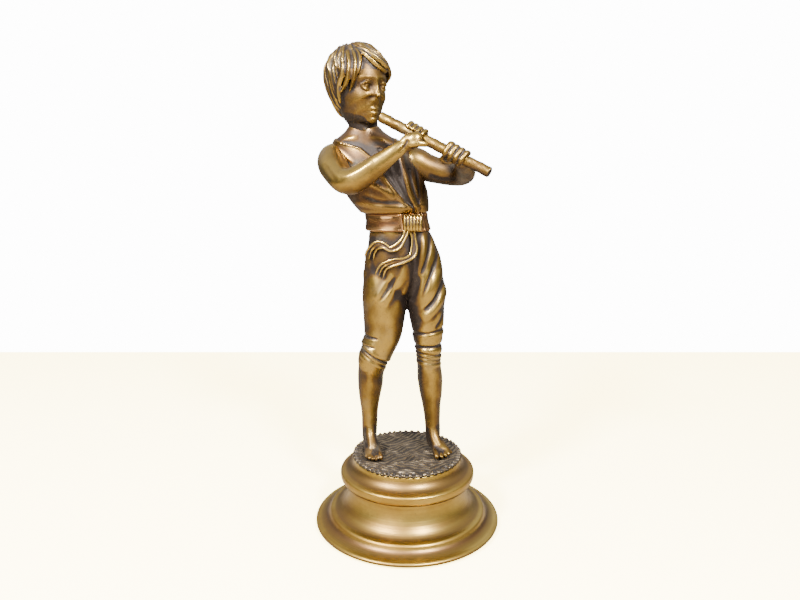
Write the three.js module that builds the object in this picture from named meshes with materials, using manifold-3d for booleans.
// A bronze statuette of a barefoot boy playing a pipe, on a turned base of two tiers.
// Millimetres, +Z up. The origin is the centre of the footprint on the table, and the boy faces -Y.
// The figure is a set of castings that meet in tenons and sockets, each held by a cross pin. The feet
// have threaded spigots that go through the ground plate, and one stud clamps the plate to the base.
import * as THREE from "three";
import { mergeVertices } from "three/addons/utils/BufferGeometryUtils.js";
import Module from "manifold-3d";

const wasm = await Module();
wasm.setup();

// ---- Driving dimensions -------------------------------------------------------------------------

const JOINT_GAP = 0.3; // clearance between two pieces that touch
const FIGURE_HEIGHT = 210; // from the soles to the top of the hair
const DRAWN_HEIGHT = 210; // the height that the figure's sections below are drawn at
const FIGURE_SCALE = FIGURE_HEIGHT / DRAWN_HEIGHT;

const FELT_THICKNESS = 0.8;
const FELT_WIDTH = 10;
const FELT_INSET = 2.2; // from the rim's edge to the felt's edge
const FOOT_TIER_HEIGHT = 23.4;
const FOOT_TIER_FLARE = 13.8; // how far the rim stands out past the collar
const RIM_HEIGHT = 1.6; // the rim's upright edge
const RIM_SLOPE_HEIGHT = 5.4; // from the upright edge up to the step ridge
const STEP_INSET = 8.2; // from the rim's edge in to the step ridge
const NECK_INSET = 5.2; // from the collar's edge in to the neck under it
const COLLAR_HEIGHT = 12.9;
const COLLAR_FLARE = 6.8; // how far the collar stands out past the ground plate
const COLLAR_BAND_HEIGHT = 5.4; // from the collar's underside up to its ridge
const SHELL_WALL = 2.3; // wall of both turned tiers
const PLATE_THICKNESS = 1.6;
const PLATE_MARGIN = 3.4; // from the farthest toe to the plate's edge
const SEAT_WIDTH = 3.0; // the ring of the collar that the plate rests on

const STUD_RADIUS = 2.0;
const STUD_TAIL = 2.5; // thread that shows below the clamp nut
const NUT_HEIGHT = 4.0;
const NUT_CORNER_RADIUS = 4.6;
const WASHER_THICKNESS = 1.4;
const WASHER_RADIUS = 8.5;
const BOSS_RADIUS = 5.0; // the boss under the plate that the stud screws into
const BOSS_DEPTH = 6.0;
const SPIGOT_RADIUS = 1.5;
const FOOT_NUT_HEIGHT = 2.4;
const FOOT_NUT_CORNER_RADIUS = 3.1;

const PIPE_RADIUS = 2.5;
const PIPE_BORE_RADIUS = 1.3;
const PIPE_BORE_DEPTH = 9;
const FINGER_THICKNESS = 1.8;
const FINGER_COUNT = 4;
const FINGER_PITCH = 2.4; // from one finger to the next along the pipe
const PIN_RADIUS = 0.8;
const SASH_THICKNESS = 1.1;
const RIBBON_THICKNESS = 1.8;

const TURNED_SEGMENTS = 48;

// ---- Geometry helpers ---------------------------------------------------------------------------

const solidOf = (geometry) => {
  const bare = geometry.clone();
  bare.deleteAttribute("normal");
  bare.deleteAttribute("uv");
  const merged = mergeVertices(bare, 1e-4);
  return new wasm.Manifold(
    new wasm.Mesh({
      numProp: 3,
      vertProperties: merged.attributes.position.array,
      triVerts: new Uint32Array(merged.index.array),
    }),
  );
};

const geometryOf = (solid) => {
  const mesh = solid.getMesh();
  const geometry = new THREE.BufferGeometry();
  geometry.setAttribute("position", new THREE.BufferAttribute(mesh.vertProperties, 3));
  geometry.setIndex(new THREE.BufferAttribute(mesh.triVerts, 1));
  geometry.computeVertexNormals();
  return geometry;
};

const vector = ([x, y, z]) => new THREE.Vector3(x, y, z);

// A round rod from one point to another.
const rod = (from, to, radius, sides = 20) => {
  const along = new THREE.Vector3().subVectors(to, from);
  const turn = new THREE.Quaternion().setFromUnitVectors(
    new THREE.Vector3(0, 1, 0),
    along.clone().normalize(),
  );
  const geometry = new THREE.CylinderGeometry(radius, radius, along.length(), sides);
  geometry.applyQuaternion(turn);
  const middle = new THREE.Vector3().addVectors(from, to).multiplyScalar(0.5);
  geometry.translate(middle.x, middle.y, middle.z);
  return solidOf(geometry);
};

// An upright rod on the axis through (x, y), between two heights.
const post = (x, y, low, high, radius, sides = 20) =>
  rod(new THREE.Vector3(x, y, low), new THREE.Vector3(x, y, high), radius, sides);

// A turned piece: its half-section as [radius, height] points, anticlockwise round the material.
const turned = (profile, segments = TURNED_SEGMENTS) => {
  const points = profile.map(([radius, height]) => new THREE.Vector2(radius, height));
  points.push(points[0].clone());
  const geometry = new THREE.LatheGeometry(points, segments);
  geometry.rotateX(Math.PI / 2);
  return solidOf(geometry);
};

// A quarter of an ellipse as profile points, from the angle start to the angle end, in degrees.
const arc = (centreRadius, centreHeight, halfWidth, halfHeight, start, end, steps) =>
  Array.from({ length: steps + 1 }, (_, i) => {
    const angle = THREE.MathUtils.degToRad(start + ((end - start) * i) / steps);
    return [
      centreRadius + halfWidth * Math.cos(angle),
      centreHeight + halfHeight * Math.sin(angle),
    ];
  });

// A smooth skin over a spine. Each section is [x, y, z, half width, half depth] in the figure's drawn
// size. The width lies along side, and the ends close in a blunt cap. grow swells the whole skin.
const loft = (sections, side, { around = 16, along = 14, blunt = 10, grow = 0 } = {}) => {
  const at = (s) => new THREE.Vector3(s[0], s[1], s[2]).multiplyScalar(FIGURE_SCALE);
  const spine = new THREE.CatmullRomCurve3(sections.map(at), false, "centripetal");
  const sizes = new THREE.CatmullRomCurve3(
    sections.map((s) => new THREE.Vector3(s[3], s[4], 0).multiplyScalar(FIGURE_SCALE)),
  );
  const geometry = new THREE.SphereGeometry(1, around, along);
  const { position, uv } = geometry.attributes;
  for (let i = 0; i < position.count; i++) {
    const angle = 2 * Math.PI * uv.getX(i);
    const v = uv.getY(i);
    const tangent = spine.getTangent(v);
    const across = vector(side).addScaledVector(tangent, -tangent.dot(vector(side))).normalize();
    const deep = new THREE.Vector3().crossVectors(tangent, across);
    const end = Math.abs(2 * v - 1) ** blunt;
    const cap = Math.sqrt(Math.max(0, 1 - end));
    const size = sizes.getPoint(v);
    const point = spine.getPoint(v);
    point.addScaledVector(across, -Math.cos(angle) * (size.x + grow) * cap);
    point.addScaledVector(deep, -Math.sin(angle) * (size.y + grow) * cap);
    point.addScaledVector(tangent, Math.sign(v - 0.5) * grow * end);
    position.setXYZ(i, point.x, point.y, point.z);
  }
  return solidOf(geometry).translate([0, 0, groundHeight]);
};

// An egg-shaped mass, in the figure's drawn size, turned about the vertical by yaw degrees.
const egg = ([x, y, z], [halfWidth, halfDepth, halfHeight], yaw = 0, grow = 0) => {
  const geometry = new THREE.SphereGeometry(1, 20, 12);
  geometry.rotateX(Math.PI / 2);
  geometry.scale(
    halfWidth * FIGURE_SCALE + grow,
    halfDepth * FIGURE_SCALE + grow,
    halfHeight * FIGURE_SCALE + grow,
  );
  geometry.rotateZ(THREE.MathUtils.degToRad(yaw));
  geometry.translate(x * FIGURE_SCALE, y * FIGURE_SCALE, z * FIGURE_SCALE + groundHeight);
  return solidOf(geometry);
};

// A point of the figure: drawn x, y and height above the soles, in the part's own frame.
const figurePoint = (x, y, z) =>
  new THREE.Vector3(
    x * FIGURE_SCALE,
    y * FIGURE_SCALE,
    z * FIGURE_SCALE + groundHeight,
  );

const joined = (...solids) => solids.reduce((whole, solid) => whole.add(solid));

const cutBy = (solid, ...cutters) => cutters.reduce((left, cutter) => left.subtract(cutter), solid);

// ---- Materials ----------------------------------------------------------------------------------

const brass = new THREE.MeshStandardMaterial({ color: 0xa8834a, roughness: 0.35, metalness: 1 });
const bronze = new THREE.MeshStandardMaterial({ color: 0x8a6a38, roughness: 0.38, metalness: 1 });
const darkBronze = new THREE.MeshStandardMaterial({ color: 0x4f4438, roughness: 0.5, metalness: 1 });
const redBronze = new THREE.MeshStandardMaterial({ color: 0x8f5f42, roughness: 0.35, metalness: 1 });
const steel = new THREE.MeshStandardMaterial({ color: 0x9a9a98, roughness: 0.4, metalness: 1 });
const felt = new THREE.MeshStandardMaterial({ color: 0x2e2a22, roughness: 0.95, metalness: 0 });

const statuette = new THREE.Group();

const addPiece = (name, solid, material) => {
  const mesh = new THREE.Mesh(geometryOf(solid), material);
  mesh.name = name;
  statuette.add(mesh);
};

// ---- Heights and radii that follow from the driving dimensions ----------------------------------

// The farthest toe's distance from the plate's centre, in the drawn size.
const TOE_REACH = 26;

const plateRadius = TOE_REACH * FIGURE_SCALE + PLATE_MARGIN;
const collarRadius = plateRadius + COLLAR_FLARE;
const rimRadius = collarRadius + FOOT_TIER_FLARE;
const neckRadius = collarRadius - NECK_INSET;
const stepRadius = rimRadius - STEP_INSET;
const feltOuter = rimRadius - FELT_INSET;
const feltInner = feltOuter - FELT_WIDTH;

const footTierLow = FELT_THICKNESS + JOINT_GAP;
const footTierHigh = footTierLow + FOOT_TIER_HEIGHT;
const collarLow = footTierHigh + JOINT_GAP;
const collarHigh = collarLow + COLLAR_HEIGHT;
const plateLow = collarHigh + JOINT_GAP;
const plateHigh = plateLow + PLATE_THICKNESS;
const groundHeight = plateHigh + JOINT_GAP; // the soles' height

const washerHigh = footTierHigh - SHELL_WALL - JOINT_GAP;
const washerLow = washerHigh - WASHER_THICKNESS;
const nutHigh = washerLow - JOINT_GAP;
const nutLow = nutHigh - NUT_HEIGHT;
const studLow = nutLow - STUD_TAIL;
const studHigh = plateLow - SHELL_WALL;
const footNutHigh = plateLow - JOINT_GAP;
const footNutLow = footNutHigh - FOOT_NUT_HEIGHT;

// ---- The base: felt ring, foot tier, collar -----------------------------------------------------

const feltRing = () =>
  turned([
    [feltInner, 0],
    [feltOuter, 0],
    [feltOuter, FELT_THICKNESS],
    [feltInner, FELT_THICKNESS],
  ]);

// The foot tier: upright rim, a hollowed slope up to the step ridge, then a deep cove up to the neck.
const footTier = () => {
  const rimTop = footTierLow + RIM_HEIGHT;
  const stepHeight = rimTop + RIM_SLOPE_HEIGHT;
  const slopeRun = rimRadius - 0.8 - stepRadius;
  const coveRise = footTierHigh - stepHeight;
  const coveRun = stepRadius - 1 - neckRadius;
  const wallLow = stepHeight - SHELL_WALL;
  const wallHigh = footTierHigh - SHELL_WALL;
  const holeRadius = STUD_RADIUS + JOINT_GAP;
  return turned([
    [feltInner, footTierLow],
    [rimRadius - 0.5, footTierLow],
    [rimRadius, footTierLow + 0.5],
    [rimRadius, rimTop],
    [rimRadius - 0.8, rimTop + 0.6],
    ...arc(rimRadius - 0.8, stepHeight, slopeRun, stepHeight - rimTop - 0.6, 270, 180, 3).slice(1),
    ...arc(stepRadius - 1, footTierHigh, coveRun, coveRise, 270, 180, 7),
    [holeRadius, footTierHigh],
    [holeRadius, wallHigh],
    [neckRadius - SHELL_WALL, wallHigh],
    ...arc(stepRadius - 1 - SHELL_WALL, wallHigh, coveRun, wallHigh - wallLow, 180, 270, 4).slice(1),
    [feltInner, wallLow],
  ]);
};

// The collar: a rounded band that ends in a ridge, then a cove up to the seat of the ground plate.
const collar = () => {
  const ridgeHeight = collarLow + COLLAR_BAND_HEIGHT;
  const coveRun = collarRadius - 1 - (plateRadius - 0.6);
  const coveRise = collarHigh - ridgeHeight - 0.4;
  const seatInner = plateRadius - 0.6 - SEAT_WIDTH;
  const hollowRadius = neckRadius - SHELL_WALL;
  return turned([
    [hollowRadius, collarLow],
    [collarRadius - 1.4, collarLow],
    [collarRadius - 0.4, collarLow + 1.4],
    [collarRadius, collarLow + 3.4],
    [collarRadius, ridgeHeight],
    [collarRadius - 1, ridgeHeight + 0.4],
    ...arc(collarRadius - 1, collarHigh, coveRun, coveRise, 270, 180, 6).slice(1),
    [seatInner, collarHigh],
    [seatInner, collarHigh - SHELL_WALL],
    [hollowRadius, ridgeHeight - 0.6],
  ]);
};

addPiece("felt_ring", feltRing(), felt);
addPiece("base_foot", footTier(), brass);
addPiece("base_collar", collar(), brass);

// ---- The figure's sections, in the drawn size, with heights above the soles ---------------------

const RIGHT_LEG = [
  [-9.6, 0.5, 110, 7.0, 8.0],
  [-11.6, 0.5, 100, 9.9, 10.6],
  [-12.8, 0.3, 89, 10.8, 11.3],
  [-13.0, 0.0, 79.5, 10.4, 11.0],
  [-13.7, -0.6, 67.5, 9.1, 9.9],
  [-16.0, -1.4, 55.5, 7.4, 8.3],
  [-18.7, -0.6, 48.5, 7.3, 7.9],
  [-19.5, 0.8, 43, 6.6, 7.2],
  [-20.4, 1.9, 32, 4.9, 5.5],
  [-20.4, 2.9, 23, 3.6, 4.2],
  [-20.4, 3.6, 14, 3.5, 4.3],
  [-20.6, 4.2, 4, 3.7, 4.8],
];
const LEFT_LEG = [
  [5.4, 0.5, 110, 7.0, 8.0],
  [7.6, 0.5, 100, 9.9, 10.6],
  [9.2, 0.6, 89, 10.5, 11.3],
  [9.8, 0.6, 79.5, 9.7, 10.9],
  [10.6, 0.4, 67.5, 8.2, 9.6],
  [11.0, 0.0, 55.5, 6.4, 7.9],
  [11.4, 0.7, 48.5, 6.2, 7.5],
  [12.0, 1.7, 40, 6.1, 7.0],
  [12.6, 2.5, 32, 5.0, 5.8],
  [13.3, 3.4, 23, 3.7, 4.4],
  [13.9, 4.1, 14, 3.5, 4.3],
  [14.3, 4.6, 4, 3.7, 4.8],
];
const RIGHT_CUFF = [
  [-16.2, -1.4, 57.0, 8.2, 9.0],
  [-18.6, -0.8, 50.0, 8.0, 8.6],
  [-19.5, 0.6, 44.6, 7.4, 8.0],
];
const LEFT_CUFF = [
  [11.0, 0.0, 58.0, 7.3, 8.6],
  [11.3, 0.5, 51.0, 7.1, 8.3],
  [11.8, 1.4, 45.4, 6.9, 8.0],
];
const RIGHT_FOOT = [
  [-21.8, 9.4, 2.6, 2.6, 2.6],
  [-21.2, 5.4, 3.6, 3.7, 4.0],
  [-20.0, -0.6, 3.4, 4.2, 4.4],
  [-18.2, -7.2, 1.8, 4.9, 3.1],
  [-16.9, -12.4, 0.8, 4.8, 2.0],
  [-16.4, -14.4, 0.7, 4.2, 1.4],
];
const LEFT_FOOT = [
  [12.4, 10.0, 2.6, 2.6, 2.6],
  [13.6, 6.2, 3.6, 3.7, 4.0],
  [15.5, 0.6, 3.4, 4.2, 4.4],
  [17.8, -5.4, 1.8, 4.9, 3.1],
  [19.4, -9.8, 0.8, 4.8, 2.0],
  [20.0, -11.4, 0.7, 4.2, 1.4],
];
const PELVIS = [
  [-1.6, 0.2, 78, 6.0, 6.0],
  [-2.0, 0.3, 85, 15.6, 9.6],
  [-2.6, 0.5, 97, 20.2, 12.0],
  [-3.1, 0.4, 108, 18.8, 12.2],
  [-4.4, 0.1, 117, 15.8, 11.2],
  [-5.2, 0.0, 123, 14.9, 10.6],
  [-5.9, 0.0, 128, 14.9, 10.4],
  [-6.6, 0.0, 135, 14.9, 10.4],
];
const TORSO = [
  [-6.0, 0.0, 121, 15.6, 10.6],
  [-7.2, 0.0, 129, 17.2, 11.6],
  [-9.0, 0.0, 133.5, 19.0, 12.6],
  [-11.2, 0.2, 140, 20.4, 13.2],
  [-14.6, 0.6, 148, 20.8, 13.4],
  [-17.0, 1.2, 155, 19.2, 12.6],
  [-19.2, 1.6, 160, 17.4, 11.0],
  [-20.6, 1.6, 164.5, 14.2, 9.2],
  [-21.4, 1.4, 168.5, 9.6, 8.0],
];
const NECK = [
  [-20.9, 1.0, 159, 6.2, 6.4],
  [-21.3, 0.7, 164, 7.0, 7.2],
  [-21.9, 0.0, 171, 7.3, 7.5],
  [-22.8, -0.4, 178, 7.6, 7.8],
  [-23.6, -0.6, 186, 7.6, 7.8],
];
const RIGHT_ARM = [
  [-31.5, 2.0, 156.0, 6.5, 7.0],
  [-36.4, 0.6, 155.6, 7.9, 7.9],
  [-36.3, -7.5, 151.4, 7.0, 7.2],
  [-32.6, -16.5, 146.6, 6.3, 6.5],
  [-28.8, -22.8, 144.0, 6.2, 6.1],
  [-22.5, -25.2, 146.6, 5.7, 5.3],
  [-14.0, -26.4, 152.4, 4.7, 4.4],
  [-5.0, -27.0, 159.0, 3.5, 3.0],
  [-1.0, -25.4, 162.6, 4.1, 3.0],
];
const LEFT_ARM = [
  [-1.0, 2.6, 154.0, 6.6, 7.0],
  [8.0, 2.4, 150.0, 7.2, 7.2],
  [17.5, 1.8, 148.8, 6.3, 6.2],
  [25.0, 0.4, 148.2, 5.8, 5.9],
  [27.4, -5.0, 148.0, 5.5, 5.6],
  [27.0, -12.5, 149.8, 4.8, 4.7],
  [25.2, -20.0, 152.4, 3.7, 3.4],
  [23.8, -24.4, 154.0, 4.0, 3.2],
];
const HEAD_YAW = 38; // the face looks this far towards the figure's left
const CRANIUM = [-24.3, 1.0, 194.2];
const CRANIUM_SIZE = [15.4, 17.2, 15.2];
const JAW = [-21.4, -5.0, 187.0];
const JAW_SIZE = [10.8, 11.4, 13.2];
const NAPE = [-27.4, 4.6, 186.0];
const NAPE_SIZE = [10.4, 11.6, 12.4];
const NOSE = [-12.2, -15.2, 185.6];
const NOSE_SIZE = [1.6, 2.6, 2.8];

const ACROSS = [1, 0, 0]; // the side direction of upright lofts
const UPWARD = [0, 0, 1]; // the side direction of lofts that lie flat

// ---- Ground plate, clamp stud and the nuts ------------------------------------------------------

// The spigots hang from the middle of each foot.
const footSpots = [
  ["right", RIGHT_FOOT[2]],
  ["left", LEFT_FOOT[2]],
].map(([side, foot]) => [side, foot[0] * FIGURE_SCALE, foot[1] * FIGURE_SCALE]);

const groundPlate = () => {
  const chamfer = 0.4;
  const plate = turned([
    [0, plateLow],
    [plateRadius - chamfer, plateLow],
    [plateRadius, plateLow + chamfer],
    [plateRadius, plateHigh - chamfer],
    [plateRadius - chamfer, plateHigh],
    [0, plateHigh],
  ]);
  const boss = post(0, 0, plateLow - BOSS_DEPTH, plateLow + 0.2, BOSS_RADIUS);
  const threadedHole = post(
    0,
    0,
    plateLow - BOSS_DEPTH - 1,
    studHigh + JOINT_GAP,
    STUD_RADIUS + JOINT_GAP,
  );
  const spigotHoles = footSpots.map(([, x, y]) =>
    post(x, y, plateLow - 1, plateHigh + 1, SPIGOT_RADIUS + JOINT_GAP),
  );
  return cutBy(joined(plate, boss), threadedHole, ...spigotHoles);
};

// A hexagon nut, or a round washer when sides is larger.
const ring = (x, y, low, high, outer, hole, sides) =>
  cutBy(post(x, y, low, high, outer, sides), post(x, y, low - 1, high + 1, hole));

const clampHole = STUD_RADIUS + JOINT_GAP;
addPiece("ground_plate", groundPlate(), darkBronze);
addPiece("clamp_stud", post(0, 0, studLow, studHigh, STUD_RADIUS), steel);
addPiece("clamp_washer", ring(0, 0, washerLow, washerHigh, WASHER_RADIUS, clampHole, 32), steel);
addPiece("clamp_nut", ring(0, 0, nutLow, nutHigh, NUT_CORNER_RADIUS, clampHole, 6), steel);
for (const [side, x, y] of footSpots) {
  const nut = ring(
    x,
    y,
    footNutLow,
    footNutHigh,
    FOOT_NUT_CORNER_RADIUS,
    SPIGOT_RADIUS + JOINT_GAP,
    6,
  );
  addPiece(`${side}_foot_nut`, nut, steel);
}

// ---- The lower casting: breeches, bare legs and feet --------------------------------------------

const waistSkin = (grow) => loft(PELVIS, ACROSS, { around: 20, along: 12, grow });
const lowerSkins = (grow) => [
  waistSkin(grow),
  loft(RIGHT_LEG.toReversed(), ACROSS, { along: 18, grow }),
  loft(LEFT_LEG.toReversed(), ACROSS, { along: 18, grow }),
];

const footSkin = (sections) => loft(sections.toReversed(), ACROSS, { around: 12, along: 8, blunt: 6 });

// The rolled hem that closes each leg of the breeches under the knee.
const cuffSkin = (sections) => loft(sections.toReversed(), ACROSS, { along: 6, blunt: 14 });

// A wide block between two heights, to trim with.
const slab = (low, high) => {
  const width = 4 * rimRadius;
  const block = new THREE.BoxGeometry(width, width, high - low);
  block.translate(0, 0, (low + high) / 2);
  return solidOf(block);
};

const torsoLow = TORSO[1][2] * FIGURE_SCALE + groundHeight; // the torso's flat underside
const waistHigh = torsoLow - JOINT_GAP; // the flat top of the lower casting
const tenonHigh = torsoLow + 7 * FIGURE_SCALE;
const tenonSpot = [-7.2 * FIGURE_SCALE, 0];
const tenonRadius = 7 * FIGURE_SCALE;

const lowerCasting = () => {
  const cuffs = [RIGHT_CUFF, LEFT_CUFF].map(cuffSkin);
  const feet = [RIGHT_FOOT, LEFT_FOOT].map(footSkin);
  const body = joined(...lowerSkins(0), ...cuffs, ...feet);
  const tenon = post(...tenonSpot, waistHigh - 1, tenonHigh, tenonRadius, 24);
  const spigots = footSpots.map(([, x, y]) =>
    post(x, y, footNutLow - 0.8, groundHeight + 2 * FIGURE_SCALE, SPIGOT_RADIUS),
  );
  return joined(body.intersect(slab(groundHeight, waistHigh)), tenon, ...spigots);
};

// ---- The torso casting, with its sockets --------------------------------------------------------

const pipeStart = figurePoint(-13.0, -16.6, 174.1);
const pipeEnd = figurePoint(36.9, -33.0, 148.5);
const pipeAxis = new THREE.Vector3().subVectors(pipeEnd, pipeStart).normalize();
const alongPipe = (share) => new THREE.Vector3().lerpVectors(pipeStart, pipeEnd, share);

// A pin of the given length in the direction given, centred on a point of the figure.
const pinAt = (centre, direction, halfLength, radius = PIN_RADIUS) => {
  const step = vector(direction).normalize().multiplyScalar(halfLength);
  return rod(centre.clone().sub(step), centre.clone().add(step), radius, 12);
};

// Each cross pin: where its middle is, which way it runs, and half its length.
const PINS = {
  waist_pin: [figurePoint(-7.2, 0, 132.6), [0, 1, 0], 9.5 * FIGURE_SCALE],
  neck_pin: [figurePoint(-21.1, 0.9, 162.2), [1, 0, 0], 8.5 * FIGURE_SCALE],
  right_shoulder_pin: [figurePoint(-36.2, 1.4, 155.4), [1, 0, 0.05], 4.2 * FIGURE_SCALE],
  left_shoulder_pin: [figurePoint(4.4, 2.4, 151.4), [1, 0, -0.3], 4.6 * FIGURE_SCALE],
};
const pinHoles = Object.values(PINS).map(([centre, direction, halfLength]) =>
  pinAt(centre, direction, halfLength + JOINT_GAP, PIN_RADIUS + JOINT_GAP),
);

const torsoSkin = (grow) => {
  const skin = loft(TORSO, ACROSS, { around: 20, along: 14, grow });
  return skin.intersect(slab(torsoLow - grow, torsoLow + FIGURE_HEIGHT));
};
const neckSkin = (grow) => loft(NECK, ACROSS, { along: 6, grow });
const torsoCasting = () => {
  const socket = post(
    ...tenonSpot,
    torsoLow - 1,
    tenonHigh + JOINT_GAP,
    tenonRadius + JOINT_GAP,
    24,
  );
  return cutBy(torsoSkin(0), socket, neckSkin(JOINT_GAP), ...pinHoles);
};

const headCasting = () => {
  const skull = egg(CRANIUM, CRANIUM_SIZE, HEAD_YAW);
  const jaw = egg(JAW, JAW_SIZE, HEAD_YAW);
  const nape = egg(NAPE, NAPE_SIZE, HEAD_YAW);
  const nose = egg(NOSE, NOSE_SIZE, HEAD_YAW);
  return cutBy(joined(skull, jaw, nape, nose, neckSkin(0)), pipeRod(JOINT_GAP), ...pinHoles);
};

// ---- The pipe and the hands that hold it --------------------------------------------------------

const pipeRod = (grow) => {
  const reach = pipeAxis.clone().multiplyScalar(grow);
  return rod(pipeStart.clone().sub(reach), pipeEnd.clone().add(reach), PIPE_RADIUS + grow, 20);
};

const pipe = () => {
  const boreStart = pipeEnd.clone().addScaledVector(pipeAxis, -PIPE_BORE_DEPTH);
  const boreEnd = pipeEnd.clone().addScaledVector(pipeAxis, 1);
  const windowStart = pipeStart.clone().addScaledVector(pipeAxis, 4.5);
  windowStart.z += PIPE_RADIUS * 1.35;
  const windowEnd = windowStart.clone().addScaledVector(pipeAxis, 1.6);
  return cutBy(
    pipeRod(0),
    rod(boreStart, boreEnd, PIPE_BORE_RADIUS, 16),
    rod(windowStart, windowEnd, 1.4, 12),
  );
};

// Four fingers closed round the pipe: rings that touch, centred on a share of the pipe's length.
const closedFingers = (share) => {
  const inner = PIPE_RADIUS + JOINT_GAP;
  const outer = inner + FINGER_THICKNESS;
  const half = (FINGER_COUNT * FINGER_PITCH) / 2;
  const crest = Array.from({ length: FINGER_COUNT }, (_, i) => {
    const start = -half + i * FINGER_PITCH;
    return [
      [outer - 0.9, start],
      [outer, start + 0.3 * FINGER_PITCH],
      [outer, start + 0.7 * FINGER_PITCH],
    ];
  }).flat();
  const profile = [[inner, -half], ...crest, [outer - 0.9, half], [inner, half]];
  const points = profile.map(([radius, height]) => new THREE.Vector2(radius, height));
  points.push(points[0].clone());
  const geometry = new THREE.LatheGeometry(points, 20);
  const up = new THREE.Vector3(0, 1, 0);
  geometry.applyQuaternion(new THREE.Quaternion().setFromUnitVectors(up, pipeAxis));
  const centre = alongPipe(share);
  geometry.translate(centre.x, centre.y, centre.z);
  return solidOf(geometry);
};

const RIGHT_GRIP = 0.31; // where each hand holds the pipe, as a share of its length
const LEFT_GRIP = 0.7;

const armCasting = (sections, side, grip) => {
  const arm = loft(sections, side, { around: 14, along: 18, blunt: 12 });
  const knuckles = alongPipe(grip);
  const wristSection = sections[sections.length - 2];
  const wrist = figurePoint(...wristSection);
  const palm = rod(wrist, knuckles, 3.0 * FIGURE_SCALE, 12);
  return cutBy(
    joined(arm, palm, closedFingers(grip)),
    pipeRod(JOINT_GAP),
    torsoSkin(JOINT_GAP),
    neckSkin(JOINT_GAP),
    ...pinHoles,
  );
};

// ---- The sash: band, knot and two ribbon tails --------------------------------------------------

const sashLow = 119.6 * FIGURE_SCALE + groundHeight;
const sashHigh = torsoLow - JOINT_GAP;

const sashBand = () => {
  const outer = waistSkin(JOINT_GAP + SASH_THICKNESS);
  return cutBy(outer.intersect(slab(sashLow, sashHigh)), waistSkin(JOINT_GAP));
};

const knotSkin = (grow) => egg([2.4, -11.6, 124.2], [5.4, 2.8, 4.6], 0, grow);

const sashKnot = () =>
  cutBy(knotSkin(0), waistSkin(2 * JOINT_GAP + SASH_THICKNESS), torsoSkin(JOINT_GAP));

// The ribbons' routes: drawn x, y, height, half the thickness, half the width.
const EDGE = RIBBON_THICKNESS / 2;
const UPPER_TAIL = [
  [-0.6, -12.6, 120.0, EDGE, 1.5],
  [-2.6, -13.2, 115.4, EDGE, 1.7],
  [-6.4, -13.2, 112.4, EDGE, 1.9],
  [-10.4, -12.6, 113.0, EDGE, 2.1],
  [-14.2, -11.4, 113.8, EDGE, 2.6],
  [-18.0, -9.4, 110.6, EDGE, 3.0],
  [-19.8, -8.2, 107.0, EDGE, 2.6],
];
const LOWER_TAIL = [
  [4.2, -12.2, 120.0, EDGE, 1.5],
  [5.4, -12.6, 114.0, EDGE, 1.8],
  [3.8, -13.2, 108.6, EDGE, 2.0],
  [-0.8, -13.4, 106.0, EDGE, 2.2],
  [-6.4, -13.2, 105.0, EDGE, 2.4],
  [-11.4, -12.6, 102.2, EDGE, 2.8],
  [-13.8, -12.0, 97.6, EDGE, 2.4],
];
const THICKNESS_WAY = [0, 1, 0]; // the ribbons lie flat against the front of the breeches

const ribbon = (route) =>
  cutBy(
    loft(route, THICKNESS_WAY, { around: 10, along: 16, blunt: 16 }),
    ...lowerSkins(JOINT_GAP),
    waistSkin(2 * JOINT_GAP + SASH_THICKNESS).intersect(slab(sashLow - JOINT_GAP, sashHigh)),
    knotSkin(JOINT_GAP),
  );

// The largest body of a solid that a cut has left in several.
const mainBody = (solid) =>
  solid.decompose().reduce((best, body) => (body.volume() > best.volume() ? body : best));

addPiece("lower_casting", cutBy(lowerCasting(), ...pinHoles), bronze);
addPiece("torso_casting", mainBody(torsoCasting()), bronze);
addPiece("head_casting", mainBody(headCasting()), bronze);
addPiece("right_arm_casting", mainBody(armCasting(RIGHT_ARM, UPWARD, RIGHT_GRIP)), bronze);
addPiece("left_arm_casting", mainBody(armCasting(LEFT_ARM, UPWARD, LEFT_GRIP)), bronze);
addPiece("pipe", pipe(), brass);
addPiece("sash_band", mainBody(sashBand()), redBronze);
addPiece("sash_knot", mainBody(sashKnot()), brass);
addPiece("sash_tail_upper", mainBody(ribbon(UPPER_TAIL)), brass);
addPiece("sash_tail_lower", mainBody(ribbon(LOWER_TAIL)), brass);
for (const [name, [centre, direction, halfLength]] of Object.entries(PINS)) {
  addPiece(name, pinAt(centre, direction, halfLength), brass);
}

export default statuette;
